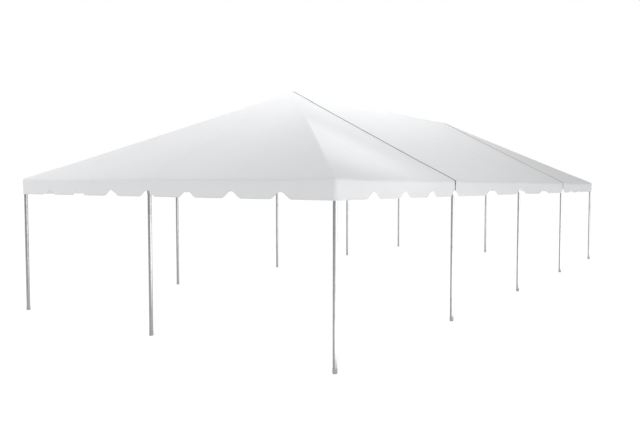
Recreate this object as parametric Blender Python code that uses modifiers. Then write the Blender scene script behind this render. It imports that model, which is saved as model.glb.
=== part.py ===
"""Frame tent, 20 ft by 40 ft: twelve tube legs, an eave frame, rafters and a hipped fabric top.

Metres, +Z up. The origin is on the ground at the centre of the tent. The long axis is Y,
the front end is at -Y and the right-hand side at +X.
"""

from math import atan, cos, pi, radians

import bmesh
import bpy
from mathutils import Vector

FOOT = 0.3048
INCH = 0.0254

# Outside of the fabric top
WIDTH = 20 * FOOT
LENGTH = 40 * FOOT
EAVE_HEIGHT = 82.5 * INCH
RIDGE_HEIGHT = 143 * INCH
FABRIC_THICKNESS = 0.003
PANEL_GAP = 0.0003

# Scalloped valance that hangs from the eave. Its notches are (width, height) pairs
VALANCE_DROP = 9.25 * INCH
SCALLOP_PITCH = 2.5 * FOOT
LONG_PITCH = 2 * SCALLOP_PITCH
NOTCH = (0.34, 0.085)
LONG_NOTCH = (0.68, 0.105)
NOTCH_STEPS = 12

# Strips that cover the two joints between the sections of the top
STRIP_WIDTH = 1.5 * INCH
STRIP_THICKNESS = 0.002

# Frame of 2 in tube, held in fittings of 2 3/8 in pipe
TUBE_RADIUS = 1.0 * INCH
SLEEVE_RADIUS = 2.375 * INCH / 2
BORE_RADIUS = TUBE_RADIUS + 0.0009
HUB_RADIUS = 0.036
SOCKET_FLOOR = 0.080
SOCKET_MOUTH = 0.180
SEAT_GAP = 0.0003
ROUND_SIDES = 16
WELD_DISTANCE = 0.0001

# Cap on the bottom of each leg
FOOT_RADIUS = TUBE_RADIUS + 0.003
FOOT_HEIGHT = 0.060
FOOT_EDGE = 0.006

# Worked out from the sizes above
SLOPE = (RIDGE_HEIGHT - EAVE_HEIGHT) / (WIDTH / 2)
PITCH = atan(SLOPE)
RIDGE_END = (LENGTH - WIDTH) / 2
AXIS_INSET = FABRIC_THICKNESS + SEAT_GAP + HUB_RADIUS
LEG_X = WIDTH / 2 - AXIS_INSET
LEG_Y = LENGTH / 2 - AXIS_INSET
RIDGE_AXIS_Z = RIDGE_HEIGHT - AXIS_INSET / cos(PITCH)
EAVE_AXIS_Z = RIDGE_AXIS_Z - SLOPE * LEG_X
VALANCE_BOTTOM = EAVE_HEIGHT - VALANCE_DROP

# Places along the tent, from the front, where a pair of side legs and rafters stands
STATIONS = (-RIDGE_END, 0.0, RIDGE_END)
SIDES = {"left": -1, "right": 1}
ENDS = {"front": -1, "back": 1}
END_PANELS = [f"{end}_roof_panel" for end in ENDS]

# Where the notches are, from the middle of each side. The middle section has longer scallops
END_NOTCHES = {number * SCALLOP_PITCH: NOTCH for number in range(-3, 4)}
SIDE_NOTCHES = {number * LONG_PITCH: LONG_NOTCH for number in (-1, 0, 1)}
SIDE_NOTCHES |= {number * SCALLOP_PITCH: NOTCH for number in (-7, -6, -5, -4, 4, 5, 6, 7)}
DOWN = Vector((0, 0, -1))


def clear_scene():
    for existing in list(bpy.data.objects):
        bpy.data.objects.remove(existing, do_unlink=True)


def new_collection(name):
    made = bpy.data.collections.new(name)
    bpy.context.scene.collection.children.link(made)
    return made


def new_material(name, colour, roughness, metallic):
    made = bpy.data.materials.new(name)
    made.use_nodes = True
    shader = made.node_tree.nodes["Principled BSDF"]
    shader.inputs["Base Color"].default_value = (*colour, 1)
    shader.inputs["Roughness"].default_value = roughness
    shader.inputs["Metallic"].default_value = metallic
    return made


clear_scene()
TENT = new_collection("frame_tent")
CUTTERS = new_collection("cutters")
ALUMINIUM = new_material("aluminium tube", (0.70, 0.71, 0.73), 0.38, 0.9)
FITTING = new_material("galvanised fitting", (0.55, 0.57, 0.59), 0.5, 0.85)
FABRIC = new_material("white coated fabric", (0.88, 0.885, 0.89), 0.45, 0.0)
STRIP = new_material("grey seam strip", (0.30, 0.30, 0.31), 0.6, 0.0)


def add_piece(name, mesh, material):
    """A node of the tent."""
    made = bpy.data.objects.new(name, mesh)
    mesh.materials.append(material)
    TENT.objects.link(made)
    return made


def add_cutter(name, mesh, group=None):
    """A helper for Booleans, kept out of the tent."""
    made = bpy.data.objects.new(name, mesh)
    made.hide_render = True
    made.display_type = "WIRE"
    (group or CUTTERS).objects.link(made)
    return made


def cutter_group(name):
    """A collection of helpers that one Boolean takes together."""
    made = bpy.data.collections.new(name)
    CUTTERS.children.link(made)
    return made


def boolean(piece, operation, tool):
    """Adds a Boolean with an object or with a collection of objects."""
    step = piece.modifiers.new(f"{operation.lower()} {tool.name}", "BOOLEAN")
    step.operation = operation
    if isinstance(tool, bpy.types.Collection):
        step.operand_type = "COLLECTION"
        step.collection = tool
    else:
        step.object = tool


def shade_round(mesh):
    mesh.shade_smooth()
    mesh.set_sharp_from_angle(angle=radians(40))


# Round stock

def round_bar_mesh(name, radius, length):
    """A cylinder that stands on its own origin."""
    mesh = bpy.data.meshes.new(name)
    bm = bmesh.new()
    bmesh.ops.create_cone(
        bm, cap_ends=True, segments=ROUND_SIDES, radius1=radius, radius2=radius, depth=length
    )
    bmesh.ops.translate(bm, verts=bm.verts, vec=(0, 0, length / 2))
    bm.to_mesh(mesh)
    bm.free()
    shade_round(mesh)
    return mesh


def point_along(piece, start, direction):
    piece.location = start
    piece.rotation_mode = "QUATERNION"
    piece.rotation_quaternion = direction.to_track_quat("Z", "Y")
    return piece


def add_tube(name, start_node, end_node):
    """A tube whose ends stand on the floors of the sockets at two frame nodes."""
    along = end_node - start_node
    direction = along.normalized()
    set_back = SOCKET_FLOOR + SEAT_GAP
    mesh = round_bar_mesh(name, TUBE_RADIUS, along.length - 2 * set_back)
    tube = add_piece(name, mesh, ALUMINIUM)
    return point_along(tube, start_node + direction * set_back, direction)


# Fittings: a ball where the axes meet, with a bored sleeve for each tube

def hub_mesh(name):
    mesh = bpy.data.meshes.new(name)
    bm = bmesh.new()
    bmesh.ops.create_uvsphere(
        bm, u_segments=ROUND_SIDES, v_segments=ROUND_SIDES // 2, radius=HUB_RADIUS
    )
    bm.to_mesh(mesh)
    bm.free()
    shade_round(mesh)
    return mesh


class Fitting:
    """Joins sleeves to a piece at any number of frame nodes, then bores their sockets."""

    def __init__(self, piece):
        self.piece = piece
        self.metal = cutter_group(f"{piece.name} metal")
        self.bores = cutter_group(f"{piece.name} bores")

    def add_hub(self, node):
        add_cutter("hub", hub_mesh("hub"), self.metal).location = node

    def add_through_sleeve(self, node, along):
        mesh = round_bar_mesh("through sleeve", SLEEVE_RADIUS, 2 * SOCKET_MOUTH)
        sleeve = add_cutter("through sleeve", mesh, self.metal)
        point_along(sleeve, node - along * SOCKET_MOUTH, along)

    def add_socket(self, node, direction):
        sleeve_mesh = round_bar_mesh("sleeve", SLEEVE_RADIUS, SOCKET_MOUTH)
        point_along(add_cutter("sleeve", sleeve_mesh, self.metal), node, direction)
        bore_mesh = round_bar_mesh("bore", BORE_RADIUS, SOCKET_MOUTH)
        floor = node + direction * SOCKET_FLOOR
        point_along(add_cutter("bore", bore_mesh, self.bores), floor, direction)

    def finish(self):
        boolean(self.piece, "UNION", self.metal)
        boolean(self.piece, "DIFFERENCE", self.bores)
        weld = self.piece.modifiers.new("weld", "WELD")
        weld.merge_threshold = WELD_DISTANCE


def add_fitting(name, node, directions):
    hub = add_piece(name, hub_mesh(name), FITTING)
    hub.location = node
    fitting = Fitting(hub)
    for direction in directions:
        fitting.add_socket(node, direction)
    fitting.finish()


def add_tees(rail, tees):
    """Fittings that a rail runs through, joined to it as one piece."""
    fitting = Fitting(rail)
    along = rail.rotation_quaternion @ Vector((0, 0, 1))
    for node, directions in tees:
        fitting.add_hub(node)
        fitting.add_through_sleeve(node, along)
        for direction in directions:
            fitting.add_socket(node, direction)
    fitting.finish()


def eave_node(x, y):
    return Vector((x, y, EAVE_AXIS_Z))


def ridge_node(y):
    return Vector((0, y, RIDGE_AXIS_Z))


def towards(start, end):
    return (end - start).normalized()


# Legs

def add_leg(name, x, y):
    """A turned leg with its foot cap. The profile runs down the outer side."""
    top = EAVE_AXIS_Z - SOCKET_FLOOR - SEAT_GAP
    profile = (
        (0, top),
        (TUBE_RADIUS, top),
        (TUBE_RADIUS, FOOT_HEIGHT),
        (FOOT_RADIUS, FOOT_HEIGHT - 0.002),
        (FOOT_RADIUS, FOOT_EDGE),
        (FOOT_RADIUS - FOOT_EDGE, 0),
        (0, 0),
    )
    mesh = bpy.data.meshes.new(name)
    bm = bmesh.new()
    points = [bm.verts.new((radius, 0, height)) for radius, height in profile]
    for above, below in zip(points, points[1:]):
        bm.edges.new((above, below))
    bm.to_mesh(mesh)
    bm.free()
    leg = add_piece(name, mesh, ALUMINIUM)
    leg.location = (x, y, 0)
    turned = leg.modifiers.new("turned", "SCREW")
    turned.steps = ROUND_SIDES
    turned.render_steps = ROUND_SIDES
    turned.use_merge_vertices = True
    turned.merge_threshold = 0.0001
    turned.use_smooth_shade = False
    return leg


def build_legs():
    for end, toward_end in ENDS.items():
        add_leg(f"{end}_middle_leg", 0, toward_end * LEG_Y)
        for side, toward_side in SIDES.items():
            add_leg(f"{end}_{side}_leg", toward_side * LEG_X, toward_end * LEG_Y)
    for side, toward_side in SIDES.items():
        for number, y in enumerate(STATIONS, 1):
            add_leg(f"{side}_leg_{number}", toward_side * LEG_X, y)


# Eave frame

def build_corner_fittings():
    for end, toward_end in ENDS.items():
        for side, toward_side in SIDES.items():
            node = eave_node(toward_side * LEG_X, toward_end * LEG_Y)
            arms = (
                DOWN,
                Vector((-toward_side, 0, 0)),
                Vector((0, -toward_end, 0)),
                towards(node, ridge_node(toward_end * RIDGE_END)),
            )
            add_fitting(f"{end}_{side}_corner_fitting", node, arms)


def build_eave_rails():
    for end, toward_end in ENDS.items():
        y = toward_end * LEG_Y
        rail = add_tube(f"{end}_eave_rail", eave_node(-LEG_X, y), eave_node(LEG_X, y))
        middle = eave_node(0, y)
        rafter_way = towards(middle, ridge_node(toward_end * RIDGE_END))
        add_tees(rail, [(middle, (DOWN, rafter_way))])
    for side, toward_side in SIDES.items():
        x = toward_side * LEG_X
        rail = add_tube(f"{side}_eave_rail", eave_node(x, -LEG_Y), eave_node(x, LEG_Y))
        nodes = [eave_node(x, y) for y in STATIONS]
        add_tees(rail, [(node, (DOWN, towards(node, ridge_node(node.y)))) for node in nodes])


# Roof frame

def build_rafters():
    for side, toward_side in SIDES.items():
        for number, y in enumerate(STATIONS, 1):
            eave = eave_node(toward_side * LEG_X, y)
            add_tube(f"{side}_rafter_{number}", eave, ridge_node(y))
    for end, toward_end in ENDS.items():
        crown = ridge_node(toward_end * RIDGE_END)
        add_tube(f"{end}_rafter", eave_node(0, toward_end * LEG_Y), crown)
        for side, toward_side in SIDES.items():
            corner = eave_node(toward_side * LEG_X, toward_end * LEG_Y)
            add_tube(f"{end}_{side}_hip_rafter", corner, crown)


def build_crown_fittings():
    for end, toward_end in ENDS.items():
        y = toward_end * RIDGE_END
        crown = ridge_node(y)
        feet = [eave_node(0, toward_end * LEG_Y)]
        for toward_side in SIDES.values():
            feet.append(eave_node(toward_side * LEG_X, toward_end * LEG_Y))
            feet.append(eave_node(toward_side * LEG_X, y))
        arms = [towards(crown, foot) for foot in feet]
        arms.append(Vector((0, -toward_end, 0)))
        add_fitting(f"{end}_crown_fitting", crown, arms)


def build_ridge_pole():
    ridge = add_tube("ridge_pole", ridge_node(-RIDGE_END), ridge_node(RIDGE_END))
    middle = ridge_node(0)
    arms = [towards(middle, eave_node(x, 0)) for x in (-LEG_X, LEG_X)]
    add_tees(ridge, [(middle, arms)])


# Fabric top: one thin shell, parted along its hips, ridge and section joints

def convex_mesh(name, points):
    mesh = bpy.data.meshes.new(name)
    bm = bmesh.new()
    verts = [bm.verts.new(point) for point in points]
    bmesh.ops.convex_hull(bm, input=verts)
    bmesh.ops.dissolve_limit(bm, angle_limit=radians(0.1), verts=bm.verts, edges=bm.edges)
    bmesh.ops.recalc_face_normals(bm, faces=bm.faces)
    bm.to_mesh(mesh)
    bm.free()
    return mesh


def envelope_points(inset, bottom):
    """Corners of the hipped top with all its faces moved inwards by inset."""
    half_width = WIDTH / 2 - inset
    half_length = LENGTH / 2 - inset
    ridge = RIDGE_HEIGHT - inset / cos(PITCH)
    eave = ridge - SLOPE * half_width
    points = [(0, -RIDGE_END, ridge), (0, RIDGE_END, ridge)]
    for x in (-half_width, half_width):
        for y in (-half_length, half_length):
            points += [(x, y, eave), (x, y, bottom)]
    return points


def prism_mesh(name, plan):
    """A tall prism over a plan outline, to cut one panel out of the shell."""
    low, high = VALANCE_BOTTOM - 1, RIDGE_HEIGHT + 1
    return convex_mesh(name, [(x, y, z) for x, y in plan for z in (low, high)])


def notch_outline(centre, width, height):
    """A bell-shaped notch in the valance's lower edge, as (along, height) points."""
    points = [(centre + width / 2, VALANCE_BOTTOM - 0.1)]
    for step in range(NOTCH_STEPS, -1, -1):
        share = step / NOTCH_STEPS - 0.5
        rise = height * (1 + cos(2 * pi * share)) / 2
        points.append((centre + share * width, VALANCE_BOTTOM + rise - 0.0005))
    points.append((centre - width / 2, VALANCE_BOTTOM - 0.1))
    return points


def notch_cutter(name, notches, depth, turn):
    """All the notches of one pair of opposite sides, as prisms that cross the whole tent."""
    curve = bpy.data.curves.new(name, "CURVE")
    curve.dimensions = "2D"
    curve.fill_mode = "BOTH"
    curve.extrude = depth / 2
    for centre, (width, height) in notches.items():
        outline = notch_outline(centre, width, height)
        spline = curve.splines.new("POLY")
        spline.points.add(len(outline) - 1)
        for point, (along, level) in zip(spline.points, outline):
            point.co = (along, level, 0, 1)
        spline.use_cyclic_u = True
    drawn = bpy.data.objects.new(name, curve)
    drawn.rotation_euler = (pi / 2, 0, turn)
    CUTTERS.objects.link(drawn)
    bpy.context.view_layer.update()
    seen = drawn.evaluated_get(bpy.context.evaluated_depsgraph_get())
    mesh = bpy.data.meshes.new_from_object(seen)
    bm = bmesh.new()
    bm.from_mesh(mesh)
    bmesh.ops.remove_doubles(bm, verts=bm.verts, dist=0.00001)
    bmesh.ops.recalc_face_normals(bm, faces=bm.faces)
    bm.to_mesh(mesh)
    bm.free()
    cutter = add_cutter(f"{name} notches", mesh)
    cutter.matrix_world = drawn.matrix_world.copy()
    bpy.data.objects.remove(drawn)
    return cutter


def panel_plans():
    """The plan outline of each panel, drawn half a gap inside its seams."""
    reach = WIDTH / 2 + 0.1
    half_gap = PANEL_GAP / 2
    plans = {}
    for end, toward_end in ENDS.items():
        apex = RIDGE_END + PANEL_GAP
        plans[f"{end}_roof_panel"] = (
            (0, toward_end * apex),
            (-reach, toward_end * (apex + reach)),
            (reach, toward_end * (apex + reach)),
        )
        for side, toward_side in SIDES.items():
            plans[f"{end}_{side}_roof_panel"] = (
                (toward_side * half_gap, toward_end * (RIDGE_END + half_gap)),
                (toward_side * reach, toward_end * (RIDGE_END + half_gap)),
                (toward_side * reach, toward_end * (RIDGE_END + reach - half_gap)),
            )
    for side, toward_side in SIDES.items():
        plans[f"middle_{side}_roof_panel"] = [
            (toward_side * x, y)
            for x in (half_gap, reach)
            for y in (half_gap - RIDGE_END, RIDGE_END - half_gap)
        ]
    return plans


def build_top():
    hollow = add_cutter(
        "under the fabric",
        convex_mesh("under", envelope_points(FABRIC_THICKNESS, VALANCE_BOTTOM - 0.5)),
    )
    end_notches = notch_cutter("end", END_NOTCHES, LENGTH + 1, 0)
    side_notches = notch_cutter("side", SIDE_NOTCHES, WIDTH + 1, pi / 2)
    for name, plan in panel_plans().items():
        mesh = convex_mesh(name, envelope_points(0, VALANCE_BOTTOM))
        panel = add_piece(name, mesh, FABRIC)
        boolean(panel, "DIFFERENCE", hollow)
        plan_prism = add_cutter(f"{name} plan", prism_mesh(name, plan))
        boolean(panel, "INTERSECT", plan_prism)
        boolean(panel, "DIFFERENCE", end_notches if name in END_PANELS else side_notches)


def build_seam_strips():
    """A flat strip over each joint between sections, from valance to valance."""
    bottom = VALANCE_BOTTOM + NOTCH[1]
    fabric = add_cutter(
        "fabric under the strips", convex_mesh("fabric", envelope_points(-SEAT_GAP, bottom - 0.5))
    )
    outset = SEAT_GAP + STRIP_THICKNESS
    reach = WIDTH / 2 + 0.1
    for end, toward_end in ENDS.items():
        name = f"{end}_seam_strip"
        strip = add_piece(name, convex_mesh(name, envelope_points(-outset, bottom)), STRIP)
        boolean(strip, "DIFFERENCE", fabric)
        seam = toward_end * RIDGE_END
        edges = (seam - STRIP_WIDTH / 2, seam + STRIP_WIDTH / 2)
        plan = [(x, y) for x in (-reach, reach) for y in edges]
        boolean(strip, "INTERSECT", add_cutter(f"{name} width", prism_mesh(name, plan)))


build_legs()
build_corner_fittings()
build_eave_rails()
build_rafters()
build_crown_fittings()
build_ridge_pole()
build_top()
build_seam_strips()
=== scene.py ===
"""The look of a 20 ft by 40 ft frame tent: cloth top, valance, tubes, fittings and studio."""

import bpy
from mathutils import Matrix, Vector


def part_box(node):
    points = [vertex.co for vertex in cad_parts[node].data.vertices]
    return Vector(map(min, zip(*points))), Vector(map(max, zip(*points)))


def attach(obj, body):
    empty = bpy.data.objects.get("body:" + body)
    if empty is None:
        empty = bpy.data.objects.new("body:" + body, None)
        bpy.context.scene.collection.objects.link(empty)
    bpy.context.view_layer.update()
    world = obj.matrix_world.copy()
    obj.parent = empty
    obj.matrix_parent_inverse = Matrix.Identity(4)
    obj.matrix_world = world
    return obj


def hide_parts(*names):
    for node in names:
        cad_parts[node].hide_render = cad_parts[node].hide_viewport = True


bl_info = {
    "name": "Frame Tent Finish",
    "version": (1, 0, 0),
    "blender": (4, 5, 0),
    "location": "View3D > Sidebar > Tent",
    "description": "Models and finishes the pieces of a hip-end frame tent",
    "category": "Add Mesh",
}

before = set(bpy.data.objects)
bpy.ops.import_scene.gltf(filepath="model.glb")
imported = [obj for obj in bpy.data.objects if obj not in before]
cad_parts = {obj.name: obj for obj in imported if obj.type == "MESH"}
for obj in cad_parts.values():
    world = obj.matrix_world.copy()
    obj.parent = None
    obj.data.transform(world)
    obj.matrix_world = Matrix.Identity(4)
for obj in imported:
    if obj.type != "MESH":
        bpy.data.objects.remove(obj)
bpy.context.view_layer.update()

from functools import cache
from math import atan2, ceil, copysign, cos, hypot, pi, radians, sin, sqrt, tan

import bmesh
import bpy
from bpy.props import FloatProperty, FloatVectorProperty, IntProperty, PointerProperty
from mathutils import Matrix, Vector, noise
from mathutils.geometry import intersect_line_line

BODY = "root"
INCH = 0.0254
PLAY = 0.0003    # between two surfaces that lie together
SHARP_ANGLE = radians(40)    # between faces, above which an edge is shaded sharp
FOLD_ANGLE = radians(12)    # turn above which cloth or webbing is folded
UP = Vector((0, 0, 1))
WHITE = (1, 1, 1, 1)

# The outside of the cloth, read from its solids
SIDE_LOW, SIDE_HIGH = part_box("middle_right_roof_panel")
HALF_WIDTH = SIDE_HIGH.x
HALF_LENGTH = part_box("back_roof_panel")[1].y
RIDGE = SIDE_HIGH.z
VALANCE_BOTTOM = SIDE_LOW.z
RIDGE_END = HALF_LENGTH - HALF_WIDTH

ENDS = {"front": -1, "back": 1}
SIDES = {"left": -1, "right": 1}
SECTIONS = {
    "front": (-HALF_LENGTH, -RIDGE_END),
    "middle": (-RIDGE_END, RIDGE_END),
    "back": (RIDGE_END, HALF_LENGTH),
}
PANEL_NODES = {end: [f"{end}_{side}roof_panel" for side in ("", "left_", "right_")] for end in ENDS}
PANEL_NODES["middle"] = [f"middle_{side}_roof_panel" for side in SIDES]
LEG_NODES = [f"{end}_{place}_leg" for end in ENDS for place in ("left", "middle", "right")]
LEG_NODES += [f"{side}_leg_{number}" for side in SIDES for number in (1, 2, 3)]
RAFTER_NODES = [f"{side}_rafter_{number}" for side in SIDES for number in (1, 2, 3)]
RAFTER_NODES += [f"{end}_rafter" for end in ENDS]
RAFTER_NODES += [f"{end}_{side}_hip_rafter" for end in ENDS for side in SIDES]
RAIL_NODES = [f"{side}_eave_rail" for side in (*ENDS, *SIDES)]


# Sizes and colours that a user would change

def length_setting(name, description, default):
    return FloatProperty(name=name, description=description, default=default, unit="LENGTH")


def angle_setting(name, description, degrees):
    default = radians(degrees)
    return FloatProperty(name=name, description=description, default=default, subtype="ANGLE")


def number_setting(name, description, default):
    return FloatProperty(name=name, description=description, default=default)


def colour_setting(name, description, default):
    return FloatVectorProperty(name=name, description=description, default=default, subtype="COLOR")


class TopSizes(bpy.types.PropertyGroup):
    """Sizes of the cloth top"""

    eave_height: length_setting(
        "Eave height", "Height of the fold where the roof turns down", 82.5 * INCH
    )
    cloth: length_setting("Cloth thickness", "Thickness of the coated cloth", 0.0012)
    cell: length_setting("Grid cell", "Spacing of the points that shape the cloth", HALF_WIDTH / 48)
    sag: length_setting("Sag", "How far the cloth dips between two rafters", 0.020)
    settle: length_setting(
        "Settle", "How far the cloth lies below its outer solid where it rests on a tube", 0.010
    )
    fitting_settle: length_setting(
        "Settle at a fitting", "How far it lies below where it rests on a fitting", 0.0015
    )
    fold: length_setting("Fold radius", "Radius of the cloth folded over a tube", 0.038)
    skirt: length_setting(
        "Skirt", "Depth of the turned-down edge that the valance is sewn behind", 0.060
    )
    joint_gap: length_setting("Joint gap", "Gap between two sections, under the strap", 0.002)
    crinkle: number_setting("Crinkle", "How much the sag varies, as a share of the sag", 0.25)
    weld_width: length_setting(
        "Weld width", "Width of the overlap where two widths of cloth are welded", 0.028
    )
    weld_step: length_setting("Weld step", "Extra thickness of the cloth at a weld", 0.0006)


class ValanceSizes(bpy.types.PropertyGroup):
    """Sizes of the scalloped valance"""

    pitch: length_setting("Scallop pitch", "Distance from one notch to the next", 30 * INCH)
    notch_width: length_setting("Notch width", "Width of the bell between two scallops", 0.34)
    notch_height: length_setting("Notch height", "Height of the notch", 0.085)
    long_notch_width: length_setting(
        "Long notch width", "Width between the double-length scallops of the middle", 0.68
    )
    long_notch_height: length_setting("Long notch height", "Height of that notch", 0.105)
    ripple: length_setting("Ripple", "How far the free edge waves in and out", 0.004)
    tape_width: length_setting(
        "Tape width", "Width of the tape that binds the scalloped edge", 0.012
    )
    tape_thickness: length_setting("Tape thickness", "Thickness of the bound edge", 0.0028)


class StrapSizes(bpy.types.PropertyGroup):
    """Sizes of the straps over the joints and of the ties round the rails"""

    width: length_setting("Joint strap width", "Width of the strap over a joint", 1.5 * INCH)
    tail_width: length_setting("Tail width", "Width of the strap's tail on the valance", 0.020)
    thickness: length_setting("Strap thickness", "Thickness of the webbing", 0.0018)
    tie_width: length_setting("Tie width", "Width of the tie round an eave rail", 1.5 * INCH)
    tie_spacing: length_setting("Tie spacing", "Distance between two ties on a rail", 0.58)


class FrameSizes(bpy.types.PropertyGroup):
    """Sizes of the tubes and fittings"""

    tube_radius: length_setting("Tube radius", "Outer radius of a tube", 1.0 * INCH)
    sleeve_radius: length_setting(
        "Sleeve radius", "Outer radius of a fitting's sleeve", 2.375 * INCH / 2
    )
    sleeve_length: length_setting(
        "Sleeve length", "From the centre of a fitting to a sleeve's mouth", 0.180
    )
    socket_floor: length_setting(
        "Socket floor", "From the centre of a fitting to the end of the tube in a sleeve", 0.080
    )
    hub_radius: length_setting("Hub radius", "Radius of a fitting's ball", 0.036)
    foot_radius: length_setting("Foot radius", "Outer radius of a leg's cap", 1.0 * INCH + 0.003)
    foot_height: length_setting("Foot height", "Height of a leg's cap", 0.060)
    bolt_place: length_setting(
        "Bolt place", "From the centre of a fitting to the bolt in a sleeve", 0.135
    )
    round_steps: IntProperty(
        name="Round steps", description="Sides of a round tube", default=40, min=12
    )


class TentColours(bpy.types.PropertyGroup):
    """Colours of the materials"""

    cloth: colour_setting("Cloth", "White coated cloth", (0.83, 0.835, 0.845))
    strap: colour_setting("Joint strap", "Grey webbing", (0.12, 0.12, 0.125))
    tie: colour_setting("Tie", "White webbing", (0.74, 0.74, 0.73))
    tube: colour_setting("Tube", "Aluminium tube", (0.34, 0.345, 0.355))
    fitting: colour_setting("Fitting", "Galvanised pipe", (0.48, 0.49, 0.51))
    cap: colour_setting("Foot cap", "Moulded cap", (0.42, 0.425, 0.43))


class StageSettings(bpy.types.PropertyGroup):
    """Camera, lights and floor"""

    camera_place: FloatVectorProperty(
        name="Camera place", description="Where the camera stands", subtype="XYZ",
        default=(6.715, -11.297, 2.028),
    )
    camera_heading: angle_setting("Camera heading", "Turn of the view to the left of +Y", 32.34)
    camera_tilt: angle_setting("Camera tilt", "How far the view points below level", 2.72)
    camera_roll: angle_setting("Camera roll", "Turn about the line of sight", 0.22)
    lens: FloatProperty(
        name="Lens", description="Focal length on a 36 mm sensor", default=34.04, unit="CAMERA"
    )
    shift: number_setting("Sideways shift", "Lens shift, as a share of the width", -0.072)
    horizon: number_setting("Horizon", "Strength of the even light from the sides", 0.30)
    zenith: number_setting("Zenith", "What is added to the even light overhead", 0.49)
    floor: colour_setting("Floor", "Pale floor", (0.25, 0.25, 0.25))
    floor_glow: number_setting("Floor glow", "Light that the lit floor gives off", 0.835)
    card_glow: number_setting("Card glow", "Light that the card beside the legs gives off", 2.8)


SETTINGS = {
    "tent_top": TopSizes,
    "tent_valance": ValanceSizes,
    "tent_straps": StrapSizes,
    "tent_frame": FrameSizes,
    "tent_colours": TentColours,
    "tent_stage": StageSettings,
}


def settings(name):
    return getattr(bpy.context.scene, name)


# Shader maths

def forward(operation):
    """An operator with the wire first."""
    return lambda wire, other: wire.math(operation, wire, other)


def reflected(operation):
    """The same operator with a number before the wire."""
    return lambda wire, other: wire.math(operation, other, wire)


class Wire:
    """A shader socket that Python arithmetic turns into Math nodes."""

    __add__, __radd__ = forward("ADD"), reflected("ADD")
    __sub__, __rsub__ = forward("SUBTRACT"), reflected("SUBTRACT")
    __mul__, __rmul__ = forward("MULTIPLY"), reflected("MULTIPLY")
    __truediv__, __rtruediv__ = forward("DIVIDE"), reflected("DIVIDE")
    __mod__, __rmod__ = forward("FLOORED_MODULO"), reflected("FLOORED_MODULO")
    __gt__, __lt__ = forward("GREATER_THAN"), forward("LESS_THAN")

    def __init__(self, nodes, socket):
        self.nodes = nodes
        self.socket = socket

    def math(self, operation, *terms):
        return self.nodes.add("ShaderNodeMath", {"operation": operation}, dict(enumerate(terms)))

    def wave(self, pitch):
        """A sine wave along the value, with a crest at every pitch."""
        return self.math("SINE", self * (2 * pi / pitch))

    def size(self):
        return self.math("ABSOLUTE", self)

    def parts(self):
        """The three parts of a vector or colour."""
        split = self.nodes.add("ShaderNodeSeparateXYZ", {}, {0: self}).socket.node
        return [Wire(self.nodes, output) for output in split.outputs]


class Nodes:
    """Adds nodes to one node tree."""

    def __init__(self, tree):
        self.tree = tree

    def join(self, socket, value):
        """Links a wire to a socket, or sets the socket's value."""
        if isinstance(value, Wire):
            self.tree.links.new(value.socket, socket)
        else:
            socket.default_value = value

    def add(self, kind, choices, sockets, output=0):
        """Any node: its type, its settings, then its sockets. Gives one output."""
        node = self.tree.nodes.new(kind)
        for name, value in choices.items():
            setattr(node, name, value)
        for name, value in sockets.items():
            self.join(node.inputs[name], value)
        return Wire(self, node.outputs[output])

    def place(self):
        """Position on the piece, in metres."""
        return self.add("ShaderNodeTexCoord", {}, {}, "Object")

    def along_and_across(self):
        """Metres along a strip or tube, and metres across or round it."""
        return self.add("ShaderNodeUVMap", {"uv_map": "metres"}, {}).parts()[:2]

    def vector(self, x, y):
        return self.add("ShaderNodeCombineXYZ", {}, {0: x, 1: y})

    def noise(self, vector, scale, detail=3.0):
        """Soft noise from 0 to 1."""
        sockets = {"Vector": vector, "Scale": scale, "Detail": detail}
        return self.add("ShaderNodeTexNoise", {}, sockets, "Fac")

    def cells(self, vector, scale):
        """A random shade for each crystal-like cell."""
        sockets = {"Vector": vector, "Scale": scale}
        return self.add("ShaderNodeTexVoronoi", {}, sockets, "Color").parts()[0]

    def ramp(self, value, low, high):
        """0 at low, 1 at high, smooth between."""
        sockets = {"Value": value, "From Min": low, "From Max": high}
        return self.add("ShaderNodeMapRange", {"interpolation_type": "SMOOTHSTEP"}, sockets)

    def blend(self, share, colour, other):
        """A colour between two others."""
        choices = {"data_type": "RGBA", "clamp_factor": True}
        return self.add("ShaderNodeMix", choices, {0: share, 6: colour, 7: other}, 2)


class Finish(Nodes):
    """One material: nodes round a Principled BSDF."""

    def __init__(self, name, colour, roughness=0.5, metallic=0.0):
        self.material = bpy.data.materials.new(name)
        self.material.use_nodes = True
        super().__init__(self.material.node_tree)
        self.shader = self.tree.nodes["Principled BSDF"]
        self.feed("Base Color", tinted(colour))
        self.feed("Roughness", roughness)
        self.feed("Metallic", metallic)

    def feed(self, name, value):
        """Links or sets one socket of the shader."""
        self.join(self.shader.inputs[name], value)

    def bump(self, millimetres):
        """Raises the surface by a height in millimetres."""
        sockets = {"Height": millimetres, "Distance": 0.001}
        self.feed("Normal", self.add("ShaderNodeBump", {}, sockets))


def tinted(colour, factor=1.0):
    """A lighter or darker version of a colour."""
    return (*(min(part * factor, 1) for part in colour[:3]), 1)


def cloth_material():
    """White coated polyester: the scrim shows faintly through an even coating."""
    colour = settings("tent_colours").cloth
    finish = Finish("white coated cloth", colour)
    finish.feed("Specular IOR Level", 0.12)
    place = finish.place()
    clouds = finish.noise(place, 0.55, 2)
    smudges = finish.ramp(finish.noise(place, 3.1, 5), 0.56, 0.80)
    even = finish.blend(clouds, tinted(colour, 0.975), tinted(colour, 1.02))
    finish.feed("Base Color", finish.blend(smudges * 0.10, even, (0.66, 0.65, 0.62, 1)))
    finish.feed("Roughness", 0.48 + finish.noise(place, 6.0) * 0.12)
    threads = [axis.wave(0.0014) for axis in place.parts()]
    scrim = (threads[0] + threads[1] + threads[2]) * 0.010
    crinkles = finish.noise(place, 5.5, 4) * 1.6
    finish.bump(scrim + crinkles)
    return finish.material


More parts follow.
